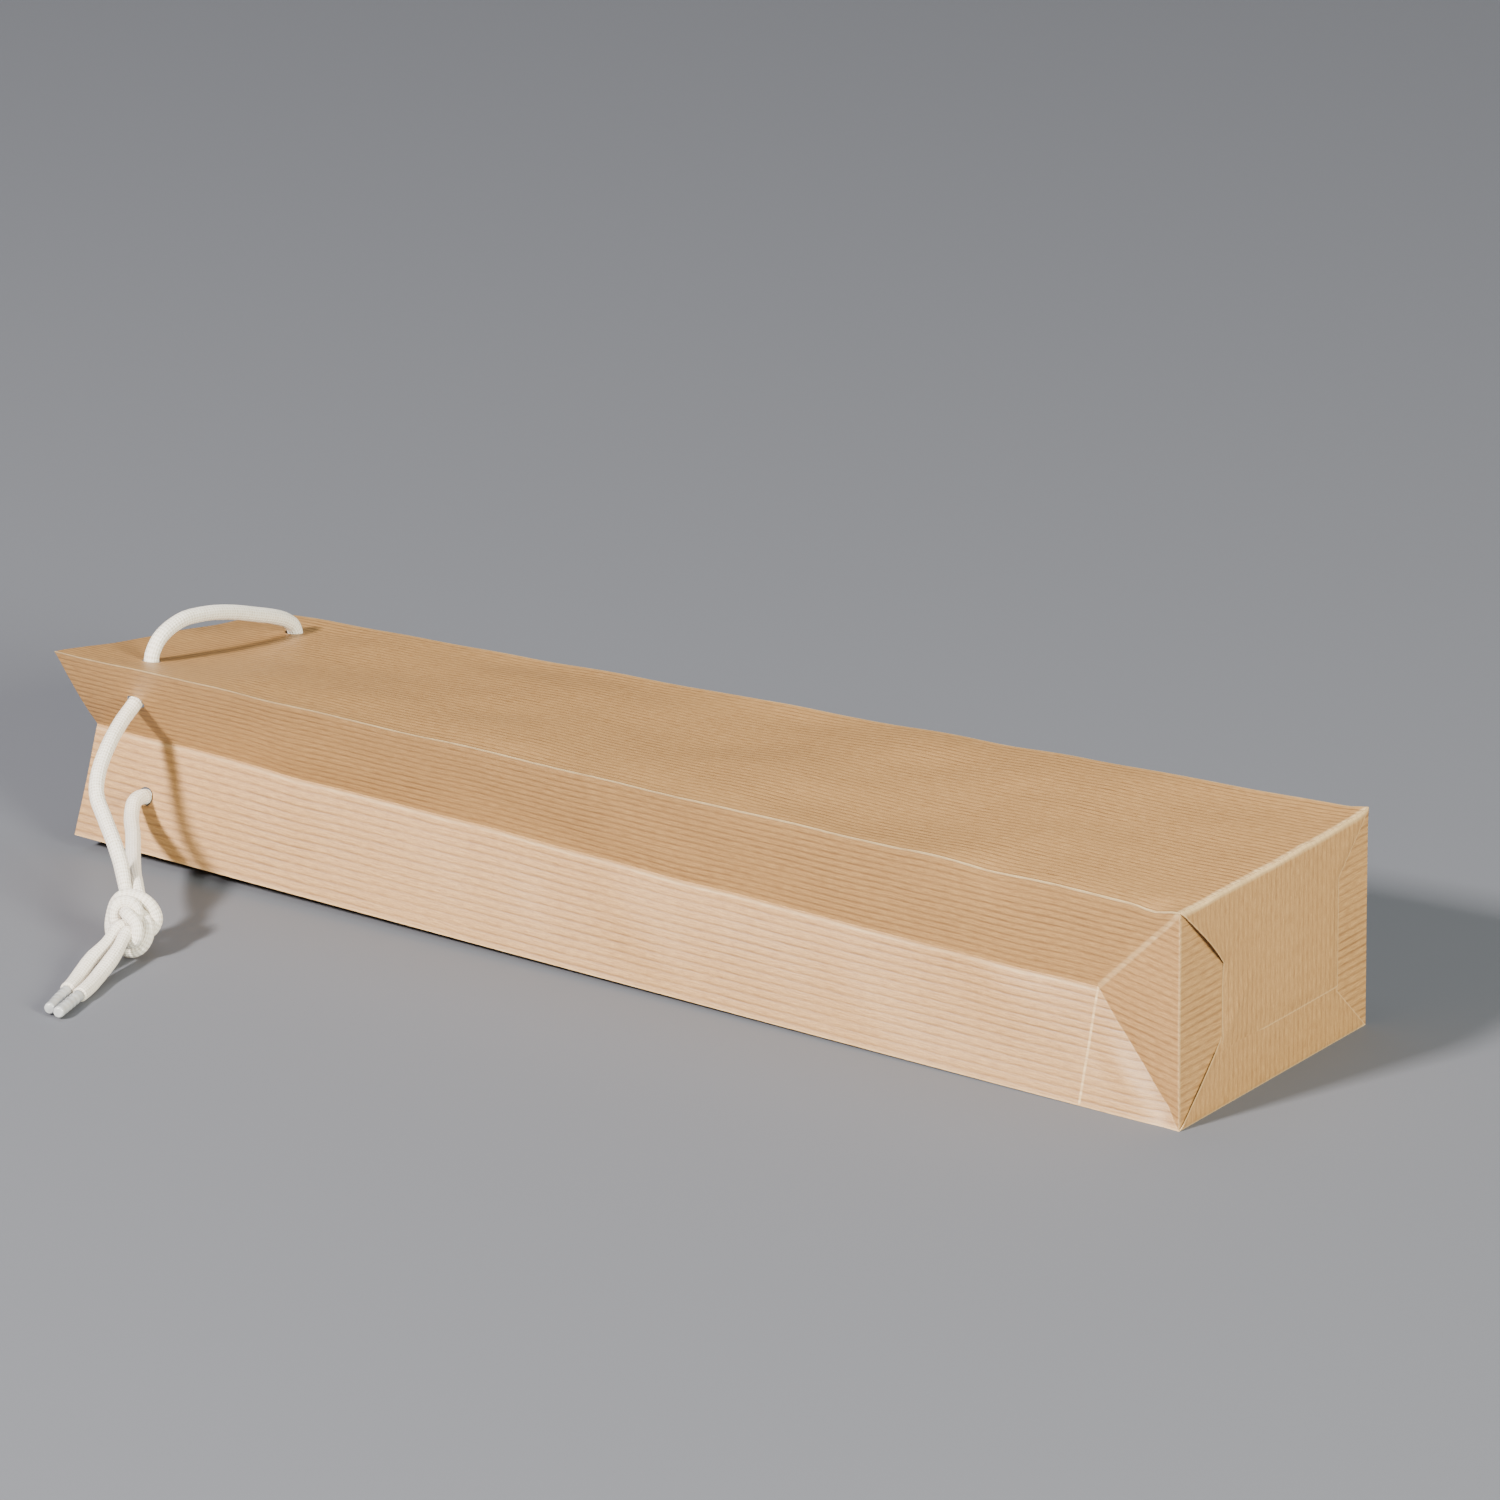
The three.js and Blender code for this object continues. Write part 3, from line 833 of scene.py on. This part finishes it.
def relief(x, j, across):
    """Waves and dents of the paper, in millimetres out of its own surface."""
    panel = sum(j >= corner for corner in CORNERS[1:])
    width = PANEL_WIDTH if panel % 2 else GUSSET_WIDTH
    at = across - PANEL_STARTS[panel]
    edge = min(at, width - at)
    hold = min(1.0, edge / 9.0) * min(1.0, (BAG_LENGTH - x) / 10.0)
    if panel == 1:
        return 0.0
    if panel == 3:
        wave = 1.3 * soft_noise(x, across * 1.5, 62.0, 5.7)
        wave += 0.3 * soft_noise(x, across, 20.0, 1.9)
        wave -= 1.5 * math.sin(math.pi * at / width) * bump_at(x, 60.0)
        return hold * wave
    middle = abs(at - GUSSET_HALF)
    hold = min(hold, min(1.0, middle / 7.0 + 0.1))
    wave = 0.7 * soft_noise(x, across, 46.0, 3.1 + panel) + 0.25 * soft_noise(x, across, 15.0, 8.4)
    opening = (x - KINK) / GUSSET_HALF
    if opening > 0.0:
        past_crease = GUSSET_HALF * opening - (at - GUSSET_HALF)
        bulge = 0.2 * bump_at(past_crease + 9.0, 6.0) * bump_at(at - 56.0, 10.0)
        pinch = -0.9 * bump_at(past_crease + 0.5, 3.2) * bump_at(opening - 0.62, 0.3)
        wave += bulge + pinch + 0.35 * soft_noise(x, across, 7.0, 4.8) * bump_at(at - 52.0, 14.0)
    return hold * wave


# Small faults of the corners and folds: where, which way and how far, and over what distance
FAULTS = [
    ((380.0, 95.0, 63.8), (0.0, 0.4, 1.0), 3.6),
    ((371.0, 0.0, 63.8), (0.0, 0.3, -1.1), 4.5),
    ((379.0, 0.0, 63.8), (0.2, -0.2, 0.5), 2.4),
    ((374.0, 0.5, 5.0), (0.0, 1.5, 0.0), 4.0),
    ((318.0, -1.2, 63.8), (0.0, 0.9, -0.7), 7.0),
    ((297.0, -1.5, 63.8), (0.0, -0.5, 0.5), 8.0),
]


def sway(x, y, z):
    """The whole paper's slight waviness, folds included, which leaves the underside alone."""
    share = min(1.0, max(0.0, (z - 6.0) / 24.0)) * min(1.0, max(0.0, BAG_LENGTH - x) / 8.0 + 0.35)
    y += 0.55 * share * soft_noise(x, z, 30.0, 12.5)
    z += 0.55 * share * soft_noise(x, y * 0.6, 26.0, 15.5)
    at_edge = bump_at(math.hypot(x - BAG_LENGTH, z - BLOCK_HEIGHT), 1.6)
    x += 0.35 * at_edge * soft_noise(y, 0.0, 4.5, 21.5)
    z += 0.45 * at_edge * soft_noise(y, 9.0, 5.5, 24.5)
    for place, move, reach in FAULTS:
        squared = (x - place[0]) ** 2 + (y - place[1]) ** 2 + (z - place[2]) ** 2
        strength = math.exp(-squared / reach ** 2)
        x, y, z = (at + by * strength for at, by in zip((x, y, z), move))
    return x, y, z


def ring_normals(ring):
    count = len(ring)
    normals = []
    for j in range(count):
        step = ring[(j + 1) % count] - ring[j - 1]
        length = np.linalg.norm(step)
        normals.append(np.array([step[1], -step[0]]) / max(length, 1e-9))
    return normals


def bag_body():
    """The tube of paper with its closed end, before it gets its thickness."""
    vertices, marks, wear_and_highlight = [], [], []
    rows = BODY_STEPS + ZONE_STEPS + 1
    for i in range(rows):
        x, ring = station(i)
        normals = ring_normals(ring)
        for j, (point, normal) in enumerate(zip(ring, normals)):
            across = sheet_across(j)
            y, z = point + normal * relief(x, j, across)
            vertices.append(sway(skewed(x, y), y, z))
            marks.append((x, across))
            wear_and_highlight.append(0.0)
    faces, face_marks = [], []
    for i in range(rows - 1):
        for j in range(RING_COUNT):
            after = (j + 1) % RING_COUNT
            a, b = i * RING_COUNT + j, i * RING_COUNT + after
            c, d = b + RING_COUNT, a + RING_COUNT
            ends = [marks[a], marks[b], marks[c], marks[d]]
            if after == 0:
                full = PANEL_STARTS[3] + PANEL_WIDTH
                ends[1], ends[2] = (marks[b][0], full), (marks[c][0], full)
            if opens_upwards(i, j):
                faces += [(a, b, d), (b, c, d)]
                face_marks += [[ends[0], ends[1], ends[3]], [ends[1], ends[2], ends[3]]]
            else:
                faces += [(a, b, c), (a, c, d)]
                face_marks += [[ends[0], ends[1], ends[2]], [ends[0], ends[2], ends[3]]]
    return vertices, faces, face_marks, wear_and_highlight, (rows - 1) * RING_COUNT


def opens_upwards(i, j):
    """Whether this cell of the folded end has its diagonal on the fold that opens upwards."""
    if i < BODY_STEPS:
        return False
    near_upper = j < ZONE_STEPS
    far_lower = CORNERS[2] <= j < CORNERS[2] + ZONE_STEPS
    return near_upper or far_lower


def end_wall(vertices, faces, face_marks, wear_and_highlight, rim):
    """The gussets' flat ends and what joins them, as a grid that closes the tube."""
    index = {}
    for j in range(RING_COUNT):
        if j <= CORNERS[1]:
            index[(0, GUSSET_STEPS - j)] = rim + j
        elif j <= CORNERS[2]:
            index[(j - CORNERS[1], 0)] = rim + j
        elif j <= CORNERS[3]:
            index[(PANEL_STEPS, j - CORNERS[2])] = rim + j
        else:
            index[(PANEL_STEPS - (j - CORNERS[3]), GUSSET_STEPS)] = rim + j
    for a in range(1, PANEL_STEPS):
        for b in range(1, GUSSET_STEPS):
            index[(a, b)] = len(vertices)
            y = PANEL_WIDTH * a / PANEL_STEPS
            z = BLOCK_HEIGHT * b / GUSSET_STEPS
            vertices.append(sway(BAG_LENGTH + 0.25 * soft_noise(y, z, 26.0, 6.6), y, z))
            wear_and_highlight.append(0.0)
    for a in range(PANEL_STEPS):
        for b in range(GUSSET_STEPS):
            keys = [(a, b), (a + 1, b), (a + 1, b + 1), (a, b + 1)]
            faces.append(tuple(index[k] for k in keys))
            face_marks.append([
                (BAG_LENGTH + PANEL_WIDTH * k[0] / PANEL_STEPS, BLOCK_HEIGHT * k[1] / GUSSET_STEPS)
                for k in keys
            ])


# How far the pale line along a flap's edge reaches, partly worn paper and partly a painted
# highlight
EDGE_CELL = 0.55
# How far off the wall a flap starts, so that the two never share an edge
FLAP_START = 0.04
FLAP_COLUMNS = 42
EDGE_ROUNDING = 1.6
EDGE_SETTLING = 4.0


def flap(vertices, faces, face_marks, wear_and_highlight, outline_at, rows, x_at, from_top):
    """A flap folded over the block bottom. outline_at gives its near and far edge at a height."""
    columns = FLAP_COLUMNS
    start = len(vertices)
    for r, z in enumerate(rows):
        near, far = outline_at(z)
        for c in range(columns + 1):
            share = (c - 1) / (columns - 2)
            y = mix(near + EDGE_CELL, far - EDGE_CELL, min(max(share, 0.0), 1.0))
            y = near if c == 0 else far if c == columns else y
            vertices.append(sway(x_at(y, z), y, z))
            on_edge = c in (0, columns) or r == len(rows) - 1
            # The flap's folds and edges get the pale fold colour: worn paper and a painted
            # highlight.
            on_fold = 0.75 if r == 0 else 0.6 if r == 1 and from_top else 0.0
            wear_and_highlight.append(max(on_fold, 0.5 if on_edge else 0.0))
    for r in range(len(rows) - 1):
        for c in range(columns):
            a = start + r * (columns + 1) + c
            cell = [a, a + 1, a + columns + 2, a + columns + 1]
            faces.append(tuple(cell[::-1] if from_top else cell))
            corners = cell[::-1] if from_top else cell
            base = PANEL_STARTS[3] if from_top else PANEL_STARTS[1]
            face_marks.append([
                (BAG_LENGTH + vertices[v][2], base + vertices[v][1]) for v in corners
            ])


def heights(low, high, step):
    count = max(2, round(abs(high - low) / step))
    return [mix(low, high, k / count) for k in range(count + 1)]


def rounded(distance):
    """How far out, from 0 to 1, paper folded round an edge has come at a distance from it."""
    share = min(1.0, max(0.0, distance / EDGE_ROUNDING))
    return math.sqrt(1.0 - (1.0 - share) ** 2)


def settled(distance):
    """From 0 at a flap's edge, which is pressed down, to 1 where it lies on the layer below."""
    share = min(1.0, max(0.0, distance / EDGE_SETTLING))
    return share * share * (3 - 2 * share)


def lower_flap(lists):
    def edges(z):
        return min(z, NEAR_STRIP), PANEL_WIDTH - min(z, FAR_STRIP)

    def x_at(y, z):
        near, far = edges(z)
        mitre = min(1.0, max(0.0, (NEAR_STRIP - z) / 4.0))
        pressed = max(settled(y - near), mitre)
        lift = 0.3 * bump_at(y - near, 1.2) * bump_at(z - 10.0, 9.0)
        out = mix(0.06, PAPER + 0.10, min(pressed, settled(far - y))) + lift
        return BAG_LENGTH + FLAP_START + out * rounded(z)

    rows = [0.0, EDGE_CELL] + heights(1.6, FAR_STRIP, 1.6)[:-1]
    rows += heights(FAR_STRIP, NEAR_STRIP, 2.0)[:-1]
    rows += heights(NEAR_STRIP, BLOCK_HEIGHT - NEAR_STRIP, 3.0)
    flap(*lists, edges, rows, x_at, False)


def upper_flap(lists):
    def edges(z):
        down = BLOCK_HEIGHT - z
        return min(down, NEAR_STRIP), PANEL_WIDTH - min(down, FAR_STRIP)

    def x_at(y, z):
        down = BLOCK_HEIGHT - z
        near, far = edges(z)
        open_part = min(1.0, max(0.0, (NEAR_STRIP + 2.0 - down) / 5.0))
        pressed = min(max(settled(y - near), open_part), settled(far - y))
        pressed = min(pressed, 0.35 + 0.65 * settled(z - RAW_EDGE_HEIGHT))
        slit = 1.1 * bump_at(y - near, 3.0) * bump_at(down - 11.0, 8.0)
        ridge = 0.5 * bump_at((z - y) / 1.41, 1.5) * bump_at(y - 28.0, 8.0)
        wave = 0.3 * soft_noise(y, z, 24.0, 9.9) * pressed
        out = mix(0.22, 2 * PAPER + 0.16, pressed) + slit + ridge + max(wave, -0.12)
        return BAG_LENGTH + FLAP_START + out * rounded(down)

    rows = [BLOCK_HEIGHT, BLOCK_HEIGHT - EDGE_CELL]
    rows += heights(BLOCK_HEIGHT - 1.6, BLOCK_HEIGHT - FAR_STRIP, 1.6)[:-1]
    rows += heights(BLOCK_HEIGHT - FAR_STRIP, BLOCK_HEIGHT - NEAR_STRIP, 2.0)[:-1]
    rows += heights(BLOCK_HEIGHT - NEAR_STRIP, RAW_EDGE_HEIGHT + EDGE_CELL, 2.0)
    rows.append(RAW_EDGE_HEIGHT)
    flap(*lists, edges, rows, x_at, True)


def hole_place(x, from_fold, neighbour):
    """The middle of a hole and the panel's normal, from two folds' places in folds()."""
    line = folds(x)
    start, end = line[from_fold], line[neighbour]
    along = (end - start) / np.linalg.norm(end - start)
    y, z = start + along * HOLE_FROM_FOLD
    return (skewed(x, y), y, z), (0.0, -along[1], along[0])


PUNCH_SIDES = 32
PUNCH_REACH = 2.2
SHARP_FROM = math.radians(24.0)
PUNCHED = [(0, 5), (0, 1), (2, 1), (2, 3), (3, 2), (3, 4), (5, 4), (5, 0)]


def cutter(name):
    """All eight punches as one object."""
    vertices, faces = [], []
    sides = PUNCH_SIDES
    for fold, neighbour in PUNCHED:
        centre, normal = hole_place(HOLE_FROM_MOUTH, fold, neighbour)
        normal = Vector(normal)
        side = Vector((1.0, 0.0, 0.0))
        other = normal.cross(side)
        start = len(vertices)
        for end in (-PUNCH_REACH, PUNCH_REACH):
            for k in range(sides):
                angle = 2 * math.pi * k / sides
                spoke = HOLE_DIAMETER / 2 * (math.cos(angle) * side + math.sin(angle) * other)
                vertices.append(world(Vector(centre) + end * normal + spoke))
        for k in range(sides):
            after = (k + 1) % sides
            faces.append((start + k, start + after, start + sides + after, start + sides + k))
        faces.append(tuple(range(start + sides - 1, start - 1, -1)))
        faces.append(tuple(range(start + sides, start + 2 * sides)))
    return new_object(name, vertices, faces, kraft)


def apply_modifiers(piece):
    shown = piece.evaluated_get(bpy.context.evaluated_depsgraph_get())
    mesh = bpy.data.meshes.new_from_object(shown)
    piece.modifiers.clear()
    piece.data = mesh


def make_bag():
    vertices, faces, face_marks, wear_and_highlight, rim = bag_body()
    lists = (vertices, faces, face_marks, wear_and_highlight)
    end_wall(*lists, rim)
    lower_flap(lists)
    upper_flap(lists)
    bag = new_object("bag_paper", [world(v) for v in vertices], faces, kraft)
    layer = bag.data.uv_layers.new(name="sheet")
    layer.data.foreach_set("uv", [x for face in face_marks for uv in face for x in uv])
    # Each point's share of the pale fold colour: worn paper and a painted highlight.
    attribute = bag.data.attributes.new("fold_wear_and_highlight", "FLOAT", "POINT")
    attribute.data.foreach_set("value", [max(0.0, min(1.0, w)) for w in wear_and_highlight])
    thick = bag.modifiers.new("thickness", "SOLIDIFY")
    thick.thickness = PAPER * MM
    thick.offset = -1.0
    thick.use_even_offset = True
    punches = cutter("punches")
    holes = bag.modifiers.new("holes", "BOOLEAN")
    holes.operation = "DIFFERENCE"
    holes.object = punches
    holes.solver = "EXACT"
    bpy.context.view_layer.update()
    apply_modifiers(bag)
    bpy.data.objects.remove(punches)
    for polygon in bag.data.polygons:
        polygon.use_smooth = True
    bag.data.set_sharp_from_angle(angle=SHARP_FROM)
    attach(bag, "root")
    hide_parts("paper_bag")


make_bag()

# Floor, light and background. A light is its name, place, size, power and colour.

FLOOR_HALF = 6.0
LIGHTS = [
    ("key", (-0.583, -2.335, 1.563), 0.30, 230.0, (1.0, 0.94, 0.87)),
    ("overhead", (-0.2, 0.3, 2.2), 1.8, 21.0, (0.90, 0.95, 1.0)),
    ("right_fill", (2.4, -0.9, 1.0), 0.9, 150.0, (1.0, 1.0, 0.84)),
]

def make_stage():
    material, nodes, _ = node_material("floor_grey")
    shader = nodes["Principled BSDF"]
    shader.inputs["Base Color"].default_value = FLOOR_GREY
    shader.inputs["Roughness"].default_value = 0.75
    shader.inputs["Specular IOR Level"].default_value = 0.2
    signs = ((-1, -1), (1, -1), (1, 1), (-1, 1))
    corners = [(FLOOR_HALF * x, FLOOR_HALF * y, 0.0) for x, y in signs]
    floor = new_object("floor", corners, [(0, 1, 2, 3)], material)


def area_light(name, place, size, power, colour):
    data = bpy.data.lights.new(name, "AREA")
    data.size = size
    data.energy = power
    data.color = colour
    light = bpy.data.objects.new(name, data)
    light.location = place
    aim = -Vector(place)
    light.rotation_euler = aim.to_track_quat("-Z", "Y").to_euler()
    bpy.context.scene.collection.objects.link(light)


def make_lights():
    for light in LIGHTS:
        area_light(*light)
    scene_world = bpy.data.worlds.new("studio")
    scene_world.use_nodes = True
    background = scene_world.node_tree.nodes["Background"]
    background.inputs["Color"].default_value = SKY
    background.inputs["Strength"].default_value = SKY_STRENGTH
    bpy.context.scene.world = scene_world


make_stage()
make_lights()
